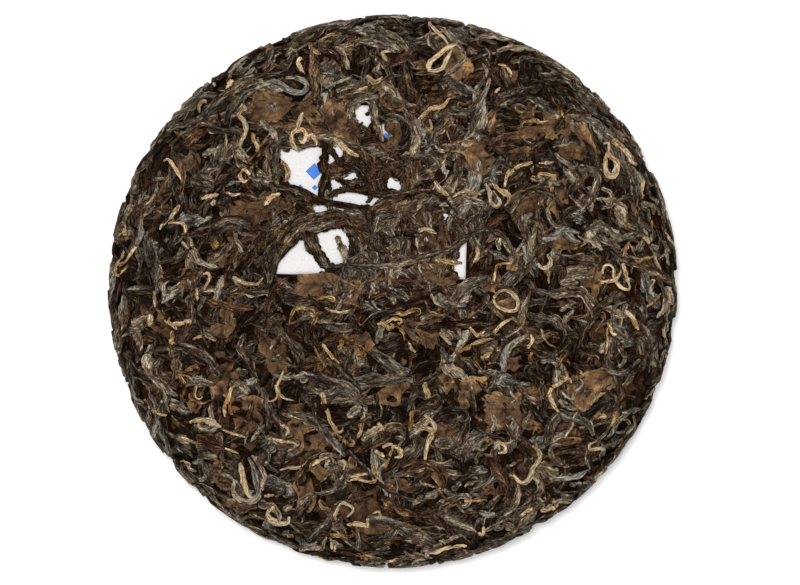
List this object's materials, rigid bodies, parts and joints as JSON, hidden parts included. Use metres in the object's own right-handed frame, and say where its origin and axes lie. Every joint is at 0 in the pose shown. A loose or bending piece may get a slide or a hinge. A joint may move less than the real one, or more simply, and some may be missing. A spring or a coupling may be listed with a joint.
{
  "type": "pressed black tea cake",
  "caption": "Round, slightly domed cake of pressed whole black tea leaves, with a paper ticket under the top leaves and a dimple in the back.",
  "frame": {"origin": "middle of the foot of the cake, at the height that its back rests on", "axes": "+Z out of the face that shows the ticket, +Y from the middle of the cake towards the ticket, +X to the right of that"},
  "size_m": [0.1912, 0.1854, 0.0254],
  "materials": {
    "tea_leaf": "dry dark brown leaf, satin on the ridges",
    "ticket_paper": "thin matt white paper"
  },
  "bodies": {
    "root": {"cake": "tea_leaf", "ticket": "ticket_paper"}
  },
  "joints": []
}
